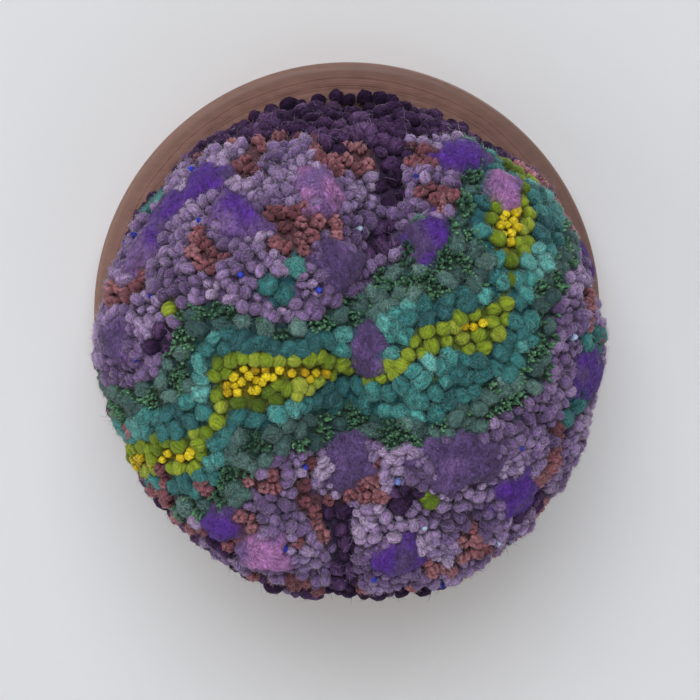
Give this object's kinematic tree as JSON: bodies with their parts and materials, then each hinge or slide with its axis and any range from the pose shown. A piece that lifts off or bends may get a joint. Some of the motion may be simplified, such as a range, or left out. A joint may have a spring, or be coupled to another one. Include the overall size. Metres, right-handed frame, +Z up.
{
  "type": "fiber sculpture on a round wood plate",
  "caption": "Stuffed round mound of looped yarn pile with two soft lobes, fixed to the face of a turned wood plate that hangs on a wall.",
  "frame": {"origin": "centre of the plate's flat foot, where it meets the wall", "axes": "+Y out of the back into the wall, +Z up, the front of the mound faces -Y"},
  "size_m": [0.1452, 0.0853, 0.1452],
  "materials": {
    "wood_plate": "smooth turned brown wood with a thin satin oil finish",
    "wool_pile": "soft looped wool pile in lilac, purple, green, teal, yellow and rust",
    "dark_wool": "fuzzy dark aubergine wool loops"
  },
  "bodies": {
    "root": {"wood_plate": "wood_plate", "fiber_mound": "wool_pile", "rim_loops": "dark_wool"}
  },
  "joints": []
}
